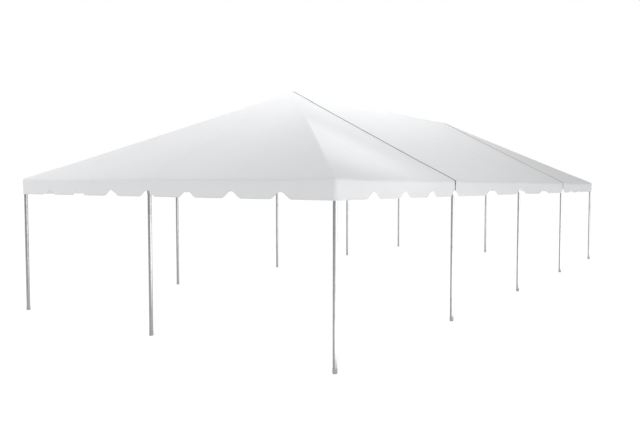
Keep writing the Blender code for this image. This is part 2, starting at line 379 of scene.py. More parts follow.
def stitches(along, across, row):
    """A mask of thread dashes along the line at one distance across."""
    half_thread, pitch, dash = 0.0004, 0.0042, 0.68
    on_row = (across - row).size() < half_thread
    return on_row * ((along / pitch) % 1.0 < dash)


def tape_material():
    """Binding tape: ribbed along its length, with one row of stitches."""
    colour = settings("tent_colours").cloth
    finish = Finish("white binding tape", colour, roughness=0.62)
    along, across = finish.along_and_across()
    ribs = across.wave(0.0012)
    stitch = stitches(along, across, settings("tent_valance").tape_width * 0.7)
    finish.feed("Base Color", finish.blend(stitch, tinted(colour, 0.97), (0.70, 0.70, 0.69, 1)))
    finish.bump(ribs * 0.05 + stitch * 0.25)
    return finish.material


def webbing_material(name, colour, width):
    """Woven webbing: diagonal ribs, a row of stitches by each edge and slight fading."""
    finish = Finish(name, colour, roughness=0.78)
    along, across = finish.along_and_across()
    ribs = (along + across * 0.5).wave(0.0022)
    wear = finish.noise(finish.vector(along * 0.8, across * 30), 4.0, 4)
    faded = finish.blend(finish.ramp(wear, 0.3, 0.8), tinted(colour, 0.92), tinted(colour, 1.14))
    stitch = stitches(along, across, 0.003) + stitches(along, across, width - 0.005)
    finish.feed("Base Color", finish.blend(stitch, faded, tinted(colour, 1.5)))
    finish.bump(ribs * 0.08 + stitch * 0.25)
    return finish.material


def strap_material():
    width = settings("tent_straps").width
    return webbing_material("grey webbing", settings("tent_colours").strap, width)


def tie_material():
    width = settings("tent_straps").tie_width
    return webbing_material("white webbing", settings("tent_colours").tie, width)


def tube_material():
    """Drawn aluminium: fine lines along the tube, dulled in patches by weather."""
    colour = settings("tent_colours").tube
    finish = Finish("aluminium tube", colour, metallic=0.95)
    along, across = finish.along_and_across()
    place = finish.place()
    lines = finish.noise(finish.vector(along * 0.6, across * 900), 1.0)
    dull = finish.ramp(finish.noise(place, 7.0, 4), 0.45, 0.75)
    drawn = finish.blend(lines, tinted(colour, 0.92), tinted(colour, 1.08))
    finish.feed("Base Color", finish.blend(dull * 0.35, drawn, tinted(colour, 0.84)))
    finish.feed("Roughness", 0.24 + lines * 0.10 + dull * 0.14)
    scratches = finish.noise(finish.vector(along * 9, across * 260), 2.0, 1)
    finish.bump(lines * 0.02 - finish.ramp(scratches, 0.70, 0.78) * 0.04)
    return finish.material


def fitting_material():
    """Hot-dipped galvanised pipe: a spangle of dull and bright crystals."""
    colour = settings("tent_colours").fitting
    finish = Finish("galvanised fitting", colour, metallic=0.9)
    place = finish.place()
    crystal = finish.cells(place, 95.0)
    grime = finish.ramp(finish.noise(place, 30.0, 5), 0.5, 0.75)
    spangle = finish.blend(crystal, tinted(colour, 0.86), tinted(colour, 1.14))
    finish.feed("Base Color", finish.blend(grime * 0.25, spangle, (0.26, 0.25, 0.24, 1)))
    finish.feed("Roughness", 0.36 + crystal * 0.16 + grime * 0.14)
    finish.bump(crystal * 0.04 + finish.noise(place, 160.0) * 0.12)
    return finish.material


def cap_material():
    """Moulded grey cap, scuffed where it stands on the ground."""
    colour = settings("tent_colours").cap
    finish = Finish("moulded foot cap", colour)
    place = finish.place()
    low = finish.ramp(place.parts()[2], 0.05, 0.0)
    scuffs = finish.ramp(finish.noise(place, 60.0, 5), 0.45, 0.7) * low
    finish.feed("Base Color", finish.blend(scuffs * 0.7, tinted(colour), (0.34, 0.32, 0.29, 1)))
    finish.feed("Roughness", 0.45 + scuffs * 0.35)
    finish.bump(finish.noise(place, 420.0, 2) * 0.06)
    return finish.material


MATERIAL_MAKERS = {
    "cloth": cloth_material,
    "tape": tape_material,
    "strap": strap_material,
    "tie": tie_material,
    "tube": tube_material,
    "fitting": fitting_material,
    "cap": cap_material,
}


@cache
def material(kind):
    """Each material is made once, when a piece first asks for it."""
    return MATERIAL_MAKERS[kind]()


# Meshes

def face_outward(bm):
    """Closed shapes face outward, and an open sheet faces away from the tent's middle."""
    bmesh.ops.recalc_face_normals(bm, faces=bm.faces)
    if not any(edge.is_boundary for edge in bm.edges):
        return
    middle = Vector((0, 0, VALANCE_BOTTOM))
    outward = sum(face.normal.dot(face.calc_center_median() - middle) for face in bm.faces)
    if outward < 0:
        bmesh.ops.reverse_faces(bm, faces=bm.faces)


def add_object(name, bm):
    """Turns a bmesh into an object of the scene."""
    mesh = bpy.data.meshes.new(name)
    bm.to_mesh(mesh)
    bm.free()
    thing = bpy.data.objects.new(name, mesh)
    bpy.context.scene.collection.objects.link(thing)
    return thing


def add_piece(name, bm, kinds, nodes):
    """A piece that rides on the tent and stands for CAD nodes."""
    face_outward(bm)
    piece = add_object(name, bm)
    piece.data.shade_smooth()
    piece.data.set_sharp_from_angle(angle=SHARP_ANGLE)
    for kind in kinds:
        piece.data.materials.append(material(kind))
    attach(piece, BODY)
    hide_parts(*nodes)
    return piece


def sort_parts(mesh):
    """Puts points, edges and faces in an order that doesn't change from run to run."""
    def place(vert):
        return [round(part, 5) for part in vert.co]

    def corners(part):
        return sorted(vert.index for vert in part.verts)

    bm = bmesh.new()
    bm.from_mesh(mesh)
    for parts, key in ((bm.verts, place), (bm.edges, corners), (bm.faces, corners)):
        for number, part in enumerate(sorted(parts, key=key)):
            part.index = number
        parts.sort()
    bm.to_mesh(mesh)
    bm.free()


def apply_modifiers(piece):
    """Leaves the piece with its final mesh, shaded by angle, and no modifiers."""
    bpy.context.view_layer.update()
    seen = piece.evaluated_get(bpy.context.evaluated_depsgraph_get())
    final = bpy.data.meshes.new_from_object(seen)
    sort_parts(final)
    final.set_sharp_from_angle(angle=SHARP_ANGLE)
    piece.modifiers.clear()
    rough = piece.data
    piece.data = final
    bpy.data.meshes.remove(rough)
    final.name = piece.name


def thicken(piece, offset):
    """Gives cloth its thickness: behind its surface at -1, and half to each side at 0."""
    thick = piece.modifiers.new("cloth", "SOLIDIFY")
    thick.thickness = settings("tent_top").cloth
    thick.offset = offset
    apply_modifiers(piece)


def distances(points):
    """How far along a path each of its points lies."""
    found = [0.0]
    for point, following in zip(points, points[1:]):
        found.append(found[-1] + (following - point).length)
    return found


def loft(bm, loops, stations, material_index=0, closed=False):
    """Skins closed loops of points in order. UV is metres along and metres round."""
    layer = bm.loops.layers.uv.get("metres") or bm.loops.layers.uv.new("metres")
    rings = [[bm.verts.new(point) for point in loop] for loop in loops]
    girth = distances([*loops[0], loops[0][0]])
    if closed:
        rings.append(rings[0])
    for row, (ring, following) in enumerate(zip(rings, rings[1:])):
        for number in range(len(ring)):
            beside = (number + 1) % len(ring)
            face = bm.faces.new((ring[number], ring[beside], following[beside], following[number]))
            face.material_index = material_index
            for corner, (up, on) in zip(face.loops, ((0, 0), (0, 1), (1, 1), (1, 0))):
                corner[layer].uv = (stations[row + up], girth[number + on])
    if not closed:
        for end in (reversed(rings[0]), rings[-1]):
            bm.faces.new(list(end)).material_index = material_index


def round_frame(direction):
    """Two directions square to a tube's own."""
    spare = UP if abs(direction.z) < 0.9 else Vector((1, 0, 0))
    side = direction.cross(spare).normalized()
    return side, direction.cross(side)


def turned(bm, start, direction, profile, steps, material_index=0):
    """A turned shape: profile holds (distance along, radius) pairs."""
    side, other = round_frame(direction)
    angles = [2 * pi * step / steps for step in range(steps)]
    spokes = [side * cos(angle) + other * sin(angle) for angle in angles]
    loops = []
    for distance, radius in profile:
        centre = start + direction * distance
        loops.append([centre + spoke * radius for spoke in spokes])
    loft(bm, loops, distances([Vector(point) for point in profile]), material_index)


def rounded_rectangle(width, height, corner):
    """Points round a rectangle with rounded corners, as (across, up) pairs."""
    points = []
    for turn, (across, up) in enumerate(((1, 1), (-1, 1), (-1, -1), (1, -1))):
        x, y = across * (width / 2 - corner), up * (height / 2 - corner)
        for step in (0, 1, 2):
            angle = (turn + step / 2) * pi / 2
            points.append((x + corner * cos(angle), y + corner * sin(angle)))
    return points


def tangents(path, closed=False):
    """The direction of travel at each point of a path."""
    before, after = (path[-1], path[0]) if closed else (path[0], path[-1])
    longer = [before, *path, after]
    return [(later - earlier).normalized() for earlier, later in zip(longer, longer[2:])]


def ribbon(bm, path, across, width, thickness, closed=False, material_index=0):
    """A flat strip along a path. across holds the direction of its width at each point."""
    section = rounded_rectangle(width, thickness, corner=thickness * 0.35)
    loops = []
    for point, tangent, wide in zip(path, tangents(path, closed), across):
        out = wide.cross(tangent).normalized()
        loops.append([point + wide * a + out * o for a, o in section])
    loft(bm, loops, distances([*path, path[0]]), material_index, closed)


def round_corners(points, radius):
    """A path whose sharp corners are replaced by arcs."""
    rounded = [points[0]]
    for before, corner, after in zip(points, points[1:], points[2:]):
        arriving = (corner - before).normalized()
        leaving = (after - corner).normalized()
        turn = arriving.angle(leaving)
        if turn < FOLD_ANGLE:
            rounded.append(corner)
            continue
        setback = radius * tan(turn / 2)
        centre = corner + (leaving - arriving).normalized() * radius / cos(turn / 2)
        start = (corner - arriving * setback - centre).normalized()
        end = (corner + leaving * setback - centre).normalized()
        steps = ceil(turn / FOLD_ANGLE)
        rounded += [centre + start.slerp(end, step / steps) * radius for step in range(steps + 1)]
    rounded.append(points[-1])
    return rounded


def resampled(points, spacing):
    """The same path with points at even spacing."""
    lengths = distances(points)
    count = ceil(lengths[-1] / spacing)
    result = []
    segment = 0
    for number in range(count + 1):
        wanted = lengths[-1] * number / count
        while segment < len(points) - 2 and lengths[segment + 1] < wanted:
            segment += 1
        passed, following = lengths[segment:segment + 2]
        share = (wanted - passed) / (following - passed)
        result.append(points[segment].lerp(points[segment + 1], share))
    return result


# Shape of the roof

def smooth_step(low, high, value):
    share = min(max((value - low) / (high - low), 0), 1)
    return share * share * (3 - 2 * share)


@cache
def bar_axis(name):
    """The middles of the two ends of a straight bar, read from its CAD node."""
    rim_depth = 0.004
    points = {tuple(round(part, 5) for part in v.co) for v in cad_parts[name].data.vertices}
    points = [Vector(point) for point in sorted(points)]
    centre = sum(points, Vector()) / len(points)
    far = max(points, key=lambda point: (point - centre).length)
    way = (far - centre).normalized()
    tips = []
    for toward in (-way, way):
        reach = max((point - centre).dot(toward) for point in points)
        rim = [point for point in points if (point - centre).dot(toward) > reach - rim_depth]
        tips.append(sum(rim, Vector()) / len(rim))
    return tips


def crossing(bar, other):
    """Where the axes of two bars meet."""
    near, far = intersect_line_line(*bar, *other)
    return (near + far) / 2


FITTING_PLACES = [(sum(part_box(name), Vector()) / 2).xy for name in LEG_NODES]
FITTING_PLACES += [Vector((0, y)) for y in (-RIDGE_END, 0, RIDGE_END)]


class RoofShape:
    """Where the outer face of the stretched cloth lies."""

    def __init__(self):
        self.sizes = settings("tent_top")
        self.slope = (RIDGE - self.sizes.eave_height) / HALF_WIDTH

    def settle(self, x, y):
        """The cloth stands higher over each fitting than over the bare tubes."""
        nearest = min((Vector((x, y)) - place).length for place in FITTING_PLACES)
        over, clear = 0.2, 0.6
        share = smooth_step(over, clear, nearest)
        high = self.sizes.fitting_settle
        return high + (self.sizes.settle - high) * share

    def sag(self, x, y):
        """The dip between rafters, nothing along a rafter, hip, ridge or eave.

        The 27 makes the deepest dip of a hip end's triangle 1.
        """
        toward_eave = min(abs(x) / HALF_WIDTH, 1)
        past_ridge = min((abs(y) - RIDGE_END) / HALF_WIDTH, 1)
        if past_ridge <= 0:
            dip = sin(pi * abs(y) / RIDGE_END) * sin(pi * toward_eave)
        else:
            outer = max(toward_eave, past_ridge)
            inner = min(toward_eave, past_ridge)
            dip = 27 * (1 - outer) * inner * (outer - inner)
        broad = noise.noise(Vector((x, y, 0)) * 1.1)
        fine = noise.noise(Vector((x, y, 9)) * 2.6)
        return self.sizes.sag * dip * (1 + self.sizes.crinkle * (broad + fine / 2))

    def height(self, x, y):
        out = max(abs(x), abs(y) - RIDGE_END)
        return RIDGE - self.slope * out - self.settle(x, y) - self.sag(x, y)

    def point(self, x, y, lift=0.0):
        """A point on the roof, raised square to its face."""
        raised = lift * hypot(1, self.slope)
        return Vector((x, y, self.height(x, y) + raised))

    def normal(self, x, y):
        """The direction square to the roof's face at a place in plan."""
        past_ridge = abs(y) - RIDGE_END
        if past_ridge > abs(x):
            return Vector((0, copysign(self.slope, y), 1)).normalized()
        return Vector((copysign(self.slope, x), 0, 1)).normalized()


# The cloth top

def on_eave(point):
    reach = 0.0005
    to_side, to_end = abs(point.x) - HALF_WIDTH, abs(point.y) - HALF_LENGTH
    return min(abs(to_side), abs(to_end)) < reach


def on_hip(point, reach):
    past_ridge = abs(point.y) - RIDGE_END
    return past_ridge > 0 and abs(past_ridge - abs(point.x)) < reach


def section_reach(section):
    """From where to where along the tent a section's cloth runs."""
    gap = settings("tent_top").joint_gap / 2
    start, stop = SECTIONS[section]
    start += gap if abs(start) < HALF_LENGTH else 0
    stop -= gap if abs(stop) < HALF_LENGTH else 0
    return start, stop


def fold_weight(edge):
    """The share of the fold's radius that an edge is cut back by, before it is rounded."""
    turn = edge.calc_face_angle(0)
    return tan(turn / 2) if turn > FOLD_ANGLE else 0.0


def roof_sheet(section):
    """One section of the top: a grid in plan, raised to the roof and turned down at the eaves."""
    sizes = settings("tent_top")
    shape = RoofShape()
    start, stop = section_reach(section)
    bm = bmesh.new()
    across, along = round(2 * HALF_WIDTH / sizes.cell), round((stop - start) / sizes.cell)
    bmesh.ops.create_grid(bm, x_segments=across, y_segments=along, size=0.5)
    for vert in bm.verts:
        x = vert.co.x * 2 * HALF_WIDTH
        y = start + (vert.co.y + 0.5) * (stop - start)
        vert.co = shape.point(x, y)
    hips = [vert for vert in bm.verts if on_hip(vert.co, sizes.cell / 10)]
    bmesh.ops.connect_verts(bm, verts=hips)
    eave = [e for e in bm.edges if e.is_boundary and all(on_eave(v.co) for v in e.verts)]
    turned_down = bmesh.ops.extrude_edge_only(bm, edges=eave)["geom"]
    for vert in turned_down:
        if isinstance(vert, bmesh.types.BMVert):
            vert.co.z = sizes.eave_height - sizes.skirt
    bm.normal_update()
    weight = bm.edges.layers.float.new("bevel_weight_edge")
    for edge in bm.edges:
        edge[weight] = fold_weight(edge)
    piece = add_piece(f"{section}_top", bm, ["cloth"], PANEL_NODES[section])
    fold = piece.modifiers.new("folds", "BEVEL")
    fold.limit_method = "WEIGHT"
    fold.width = sizes.fold
    fold.segments = 6
    thicken(piece, -1)
    return piece


def rafter_section(name):
    """The section of the top that a rafter carries."""
    for end in ENDS:
        if name.startswith(end):
            return end
    return {"1": "front", "2": "middle", "3": "back"}[name[-1]]


def declare_roof_sheet(section):
    """Works out sizes for the flat cut (a rectangle for the middle section, a fan for a hip end)
    and the tubes the section rests on, but keeps none of them.
    """
    sizes = settings("tent_top")
    steepness = hypot(1, RoofShape().slope)
    start, stop = section_reach(section)
    slope_length = HALF_WIDTH * steepness
    if section == "middle":
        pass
    else:
        half_fan = 2 * atan2(HALF_WIDTH, slope_length)
    rests = [name for name in RAFTER_NODES if rafter_section(name) == section]
    rests += ["ridge_pole"] if section == "middle" else [f"{section}_crown_fitting"]


def weld_lines(section):
    """The lines in plan, eave first, where the section's widths of cloth are welded."""
    half_bay = HALF_WIDTH / 2
    stop_short = 0.03
    if section == "middle":
        for y in (-half_bay, 0.0, half_bay):
            yield [Vector((HALF_WIDTH, y)), Vector((0, y)), Vector((-HALF_WIDTH, y))]
        return
    toward = ENDS[section]
    eave = toward * HALF_LENGTH
    for x in (-half_bay, 0.0, half_bay):
        yield [Vector((x, eave)), Vector((x, toward * (RIDGE_END + abs(x) + stop_short)))]
    for side in SIDES.values():
        y = toward * (RIDGE_END + half_bay)
        yield [Vector((side * HALF_WIDTH, y)), Vector((side * (half_bay + stop_short), y))]


def hip_line(end, side):
    """The line in plan beside a hip, where the end's cloth laps over the side's."""
    sizes = settings("tent_top")
    toward, toward_side = ENDS[end], SIDES[side]
    flat_of_fold, crown_gap = sizes.fold * 0.36, 0.04
    beside = (flat_of_fold + sizes.weld_width / 2) * sqrt(2)
    places = (HALF_WIDTH, beside + crown_gap)
    return [Vector((toward_side * x, toward * (RIDGE_END + x - beside))) for x in places]


def weld_band(bm, shape, line):
    """One overlap band, from the fold at the eave up the slope."""
    sizes = settings("tent_top")
    clearance, fold_share = 0.0002, 0.8
    lift = sizes.weld_step / 2 + clearance
    clear = (line[1] - line[0]).normalized() * sizes.fold * fold_share
    stops = [line[0] + clear, *line[1:]]
    if len(line) > 2:
        stops[-1] -= clear
    path = [shape.point(*stops[0], lift)]
    for start, end in zip(stops, stops[1:]):
        steps = round((end - start).length / sizes.cell)
        path += [shape.point(*start.lerp(end, (step + 1) / steps), lift) for step in range(steps)]
    path = round_corners(path, sizes.fold + lift)
    middle = path[len(path) // 2]
    across = (path[-1] - path[0]).cross(shape.normal(middle.x, middle.y)).normalized()
    ribbon(bm, path, [across] * len(path), sizes.weld_width, sizes.weld_step)


def add_welds(section):
    shape = RoofShape()
    bm = bmesh.new()
    lines = list(weld_lines(section))
    if section in ENDS:
        lines += [hip_line(section, side) for side in SIDES]
    for line in lines:
        weld_band(bm, shape, line)
    name = f"{section}_weld_bands"
    return add_piece(name, bm, ["cloth"], PANEL_NODES[section])


# The valance

def valance_line(section, side=0):
    """The plan line that a valance hangs from, rounded at the corners."""
    sizes = settings("tent_top")
    inset = sizes.cloth * 1.5 + PLAY
    x, y = HALF_WIDTH - inset, HALF_LENGTH - inset
    start, stop = section_reach(section)
    if section == "middle":
        return [Vector((side * x, side * start, 0)), Vector((side * x, side * stop, 0))]
    toward = ENDS[section]
    joint = stop if toward < 0 else start
    x *= toward
    corners = [(x, joint), (x, toward * y), (-x, toward * y), (-x, joint)]
    line = [Vector((*corner, 0)) for corner in corners]
    return round_corners(line, sizes.fold)


def notch_rise(place, outward):
    """Height of the scalloped edge above the valance's lowest line."""
    sizes = settings("tent_valance")
    on_side = abs(outward.x) > abs(outward.y)
    along = place.y if on_side else place.x
    pitch, width, height = sizes.pitch, sizes.notch_width, sizes.notch_height
    most = round((HALF_LENGTH if on_side else HALF_WIDTH) / pitch) - 1
    if on_side and abs(along) < RIDGE_END - pitch / 2:
        pitch, width, height = 2 * pitch, sizes.long_notch_width, sizes.long_notch_height
        most = 1
    number = max(-most, min(most, round(along / pitch)))
    away = (along - number * pitch) / width
    return height * (1 + cos(2 * pi * away)) / 2 if abs(away) < 0.5 else 0.0


class Valance:
    """A strip of valance: its hanging points and its scalloped edge."""

    rows = 9
    steps = 60    # along one scallop
    seam = 0.7    # how far down the fold it is sewn, as a share of the fold's radius

    def __init__(self, line):
        top = settings("tent_top")
        self.path = resampled(line, settings("tent_valance").pitch / self.steps)
        self.top = top.eave_height - top.settle - top.fold * self.seam
        self.free = top.eave_height - top.skirt
        self.outward = [Vector((way.y, -way.x, 0)) for way in tangents(self.path)]

    def wave(self, place):
        """In and out by the free edge, most at the middle of each scallop."""
        sizes = settings("tent_valance")
        around = place.x + place.y
        swing = -cos(2 * pi * around / sizes.pitch) * 0.5
        drift = noise.noise(Vector((place.x * 1.3, place.y * 1.3, 4.7)))
        corner = hypot(abs(place.x) - HALF_WIDTH, abs(place.y) - HALF_LENGTH)
        still, loose = 0.05, 0.5
        return sizes.ripple * (swing + drift * 0.5) * smooth_step(still, loose, corner)

    def point(self, number, share):
        place, outward = self.path[number], self.outward[number]
        bottom = VALANCE_BOTTOM + notch_rise(place, outward)
        height = self.top + (bottom - self.top) * share
        loose = smooth_step(0, 1, (self.free - height) / (self.free - VALANCE_BOTTOM))
        swung = outward * self.wave(place) * loose
        return Vector((place.x, place.y, height)) + swung


def add_valance(name, line, nodes):
    valance = Valance(line)
    bm = bmesh.new()
    count = len(valance.path)
    rows = valance.rows
    grid = [
        [bm.verts.new(valance.point(number, row / rows)) for number in range(count)]
        for row in range(rows + 1)
    ]
    for upper, lower in zip(grid, grid[1:]):
        for number in range(count - 1):
            bm.faces.new((upper[number], lower[number], lower[number + 1], upper[number + 1]))
    piece = add_piece(name, bm, ["cloth"], nodes)
    thicken(piece, 0)
    tape = add_scallop_tape(f"{name}_tape", valance, nodes)
    flat = (distances(valance.path)[-1], valance.top - VALANCE_BOTTOM)


def add_scallop_tape(name, valance, nodes):
    """Tape folded over the scalloped edge."""
    sizes = settings("tent_valance")
    over_edge = 0.002
    path = []
    for number in range(len(valance.path)):
        edge = valance.point(number, 1)
        above = valance.point(number, 1 - 1 / valance.rows)
        path.append(edge + (above - edge).normalized() * (sizes.tape_width / 2 - over_edge))
    bm = bmesh.new()
    across = [way.cross(out).normalized() for way, out in zip(tangents(path), valance.outward)]
    ribbon(bm, path, across, sizes.tape_width, sizes.tape_thickness)
    return add_piece(name, bm, ["tape"], nodes)


# Straps

def add_joint_strap(end):
    """The grey strap over a joint, from one valance over the roof to the other."""
    sizes = settings("tent_straps")
    top = settings("tent_top")
    shape = RoofShape()
    y = ENDS[end] * RIDGE_END
    lift = sizes.thickness / 2 + PLAY
    above_notch, tail_top, narrowing = 0.004, 0.02, 0.01
    foot = VALANCE_BOTTOM + settings("tent_valance").notch_height + above_notch
    steps = round(HALF_WIDTH / top.cell / 2)
    half = [shape.point(HALF_WIDTH * (1 - step / steps), y, lift) for step in range(steps)]
    half[0].x += lift
    low = top.eave_height - top.skirt
    tail = (foot, low - tail_top, low)
    half = [Vector((half[0].x, y, height)) for height in tail] + half
    other = [Vector((-point.x, point.y, point.z)) for point in reversed(half)]
    path = round_corners([*half, shape.point(0, y, lift), *other], top.fold + lift)
    narrow = sizes.tail_width / sizes.width
    across = [Vector((0, narrow if point.z < low - narrowing else 1, 0)) for point in path]
    bm = bmesh.new()
    ribbon(bm, path, across, sizes.width, sizes.thickness)
    add_piece(f"{end}_joint_strap", bm, ["strap"], [f"{end}_seam_strip"])


def tie_line(radius, seam):
    """Once round a rail and flat against the seam behind it. X is outward and Y is up."""
    seam_low, seam_high, corner = -0.022, -0.006, 0.004
    under, over = [
        [Vector((cos(radians(angle)), sin(radians(angle)), 0)) * radius for angle in angles]
        for angles in (range(180, 281, 10), range(30, 181, 10))
    ]
    line = [*under, Vector((seam, seam_low, 0)), Vector((seam, seam_high, 0)), *over]
    return round_corners(line, corner)[:-1]


def add_tie(bm, place, along, outward):
    """One webbing tie from the valance's seam round a rail, with a slide buckle."""
    sizes = settings("tent_straps")
    tube = settings("tent_frame").tube_radius
    radius = tube + sizes.thickness / 2 + PLAY
    to_seam, buckle_gap = 0.010, 0.0015
    line = tie_line(radius, tube + to_seam)
    path = [place + outward * point.x + UP * point.y for point in line]
    ribbon(bm, path, [along] * len(path), sizes.tie_width, sizes.thickness, closed=True)
    height, corner, margin, wire, depth, bar_radius = 0.026, 0.005, 0.004, 0.0036, 0.0024, 0.0011
    centre = place - outward * (radius + sizes.thickness / 2 + buckle_gap)
    outline = rounded_rectangle(sizes.tie_width + 2 * margin, height, corner)
    buckle = [centre + along * a + UP * b for a, b in outline]
    ribbon(bm, buckle, [outward] * len(buckle), depth, wire, closed=True, material_index=1)
    reach = (sizes.tie_width + margin) / 2
    bar = [(0, bar_radius), (2 * reach, bar_radius)]
    turned(bm, centre - along * reach, along, bar, steps=10, material_index=1)


# The frame

def tube_profile(length, radius):
    """A plain tube with softened ends."""
    edge = 0.0015
    return [(0, radius - edge), (edge, radius), (length - edge, radius), (length, radius - edge)]


def arc(centre, radius, width, height, angles):
    """A round stretch of a profile, width along the axis and height away from it."""
    return [(centre - width * cos(a), radius + height * sin(a)) for a in angles]


def spaced(profile, spacing=0.5):
    """Adds points along the long stretches of a profile, to keep its faces even."""
    result = [profile[0]]
    for (start, radius), (end, wider) in zip(profile, profile[1:]):
        steps = max(1, round(abs(end - start) / spacing))
        for step in range(1, steps + 1):
            share = step / steps
            result.append((start + (end - start) * share, radius + (wider - radius) * share))
    return result


def add_bar(name, start, end, node):
    sizes = settings("tent_frame")
    bm = bmesh.new()
    direction = (end - start).normalized()
    profile = spaced(tube_profile((end - start).length, sizes.tube_radius))
    turned(bm, start, direction, profile, sizes.round_steps)
    add_piece(name, bm, ["tube"], [node])


def add_leg(node):
    """A leg tube with a rounded cap pushed on to its foot."""
    sizes = settings("tent_frame")
    low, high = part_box(node)
    foot = Vector(((low.x + high.x) / 2, (low.y + high.y) / 2, 0))
    bm = bmesh.new()
    cap_floor = 0.004
    tube = spaced(tube_profile(high.z - cap_floor, sizes.tube_radius))
    turned(bm, foot + UP * cap_floor, UP, tube, sizes.round_steps)
    radius, height, edge = sizes.foot_radius, sizes.foot_height, 0.006
    cap = [(0, radius - edge)]
    cap += arc(edge, radius - edge, edge, edge, [step * pi / 8 for step in range(1, 5)])
    cap += [(height - 0.003, radius), (height - 0.001, radius - 0.0008)]
    cap += [(height, radius - 0.0022), (height, sizes.tube_radius - 0.0004)]
    turned(bm, foot, UP, cap, sizes.round_steps, material_index=1)
    add_piece(f"{node}_tube", bm, ["tube", "cap"], [node])


def underside(direction):
    """The direction square to a sleeve's own that points most nearly down."""
    side, other = round_frame(direction)
    most = max((side, other), key=lambda way: abs(way.z))
    return -most if most.z > 0.1 else most


def add_bolt(bm, seat, way):
    """A washer and a hexagon head."""
    washer = [(0, 0.009), (0.0016, 0.009), (0.0020, 0.0085)]
    head = [(0, 0.0066), (0.0045, 0.0066), (0.0053, 0.0058)]
    turned(bm, seat, way, washer, steps=24)
    turned(bm, seat + way * washer[-1][0], way, head, steps=6)


def add_sleeve(bm, centre, direction):
    """A fitting's sleeve with its weld to the hub and its bolt."""
    sizes = settings("tent_frame")
    steps = sizes.round_steps
    outer, inner, mouth = sizes.sleeve_radius, sizes.tube_radius + 2 * PLAY, sizes.sleeve_length
    start, chamfer, lead_in, floor = 0.012, 0.0012, 0.0008, sizes.socket_floor - 0.0005
    profile = [(start, outer), (mouth - chamfer, outer), (mouth, outer - chamfer)]
    profile += [(mouth, inner + lead_in), (mouth - lead_in, inner), (floor, inner)]
    turned(bm, centre, direction, spaced(profile, spacing=0.08), steps)
    leaves_hub = sqrt(sizes.hub_radius**2 - outer**2)
    bead_root, bead_width, bead_height = outer - 0.001, 0.004, 0.0035
    bead = arc(leaves_hub, bead_root, bead_width, bead_height, [pi * step / 6 for step in range(7)])
    turned(bm, centre, direction, bead, steps)
    down = underside(direction)
    sunk = 0.0006
    add_bolt(bm, centre + direction * sizes.bolt_place + down * (outer - sunk), down)


def add_fitting(name, centre, directions, node):
    """A ball where the tubes meet, with a sleeve for each of them."""
    sizes = settings("tent_frame")
    steps, hub = sizes.round_steps, sizes.hub_radius
    bm = bmesh.new()
    angles = [2 * pi * step / steps for step in range(1, steps // 2)]
    turned(bm, centre, UP, arc(0, 0, hub, hub, angles), steps)
    for direction in directions:
        add_sleeve(bm, centre, direction)
    add_piece(name, bm, ["fitting"], [node])


def bars_at(centre):
    """Directions of the rafters and legs that end at a fitting."""
    reach = 0.12
    found = []
    for name in [*LEG_NODES, *RAFTER_NODES]:
        tip, other = bar_axis(name)
        for near, far in ((tip, other), (other, tip)):
            if (near - centre).length < reach:
                found.append((far - near).normalized())
    return found


def legs_along(start, end):
    """Where the axes of the middle legs of a side meet its rail, in order."""
    way = (end - start).normalized()
    length = (end - start).length
    found = []
    axis_gap, end_gap = 0.01, 0.5
    for name in LEG_NODES:
        leg = bar_axis(name)
        centre = crossing((start, end), leg)
        off = (centre - leg[0]).cross((leg[1] - leg[0]).normalized()).length
        if off < axis_gap and end_gap < (centre - start).dot(way) < length - end_gap:
            found.append(centre)
    return sorted(found, key=lambda centre: (centre - start).dot(way))


def add_rail_run(node):
    """The tubes of one eave side, cut at its tee fittings, with the fittings and ties."""
    start, end = bar_axis(node)
    way = (end - start).normalized()
    gap = way * (settings("tent_frame").socket_floor + PLAY)
    centres = legs_along(start, end)
    tips = [start]
    for centre in centres:
        tips += [centre - gap, centre + gap]
    tips.append(end)
    side = node.replace("_eave_rail", "")
    spans = list(zip(tips[::2], tips[1::2]))
    for number, (near, far) in enumerate(spans, 1):
        add_bar(f"{side}_rail_{number}", near, far, node)
    for number, centre in enumerate(centres, 1):
        directions = [way, -way, *bars_at(centre)]
        add_fitting(f"{side}_tee_fitting_{number}", centre, directions, node)
    middle = (start + end) / 2
    outward = Vector((middle.x, middle.y, 0)).normalized()
    spacing = settings("tent_straps").tie_spacing
    bm = bmesh.new()
    for near, far in spans:
        count = round((far - near).length / spacing)
        for tie in range(count):
            add_tie(bm, near.lerp(far, (tie + 0.5) / count), way, outward)
    add_piece(f"{side}_rail_ties", bm, ["tie", "fitting"], [node])


def add_ridge():
    """The ridge pole's two tubes, its middle fitting and the crown fittings at its ends."""
    start, end = sorted(bar_axis("ridge_pole"), key=lambda tip: tip.y)
    middle = (start + end) / 2
    way = Vector((0, 1, 0))
    gap = way * (settings("tent_frame").socket_floor + PLAY)
    add_bar("front_ridge_tube", start, middle - gap, "ridge_pole")
    add_bar("back_ridge_tube", middle + gap, end, "ridge_pole")
    add_fitting("middle_crown_fitting", middle, [way, -way, *bars_at(middle)], "ridge_pole")
    for name, toward in ENDS.items():
        node = f"{name}_crown_fitting"
        centre = crossing((start, end), bar_axis(f"{name}_rafter"))
        add_fitting(f"{node}_sleeves", centre, [way * -toward, *bars_at(centre)], node)


# Operators

class TENT_OT_top(bpy.types.Operator):
    """Sew the three sections of the cloth top"""

    bl_idname = "tent.top"
    bl_label = "Cloth Top"

    def execute(self, context):
        for section in SECTIONS:
            piece = roof_sheet(section)
            bands = add_welds(section)
            declare_roof_sheet(section)
        return {"FINISHED"}


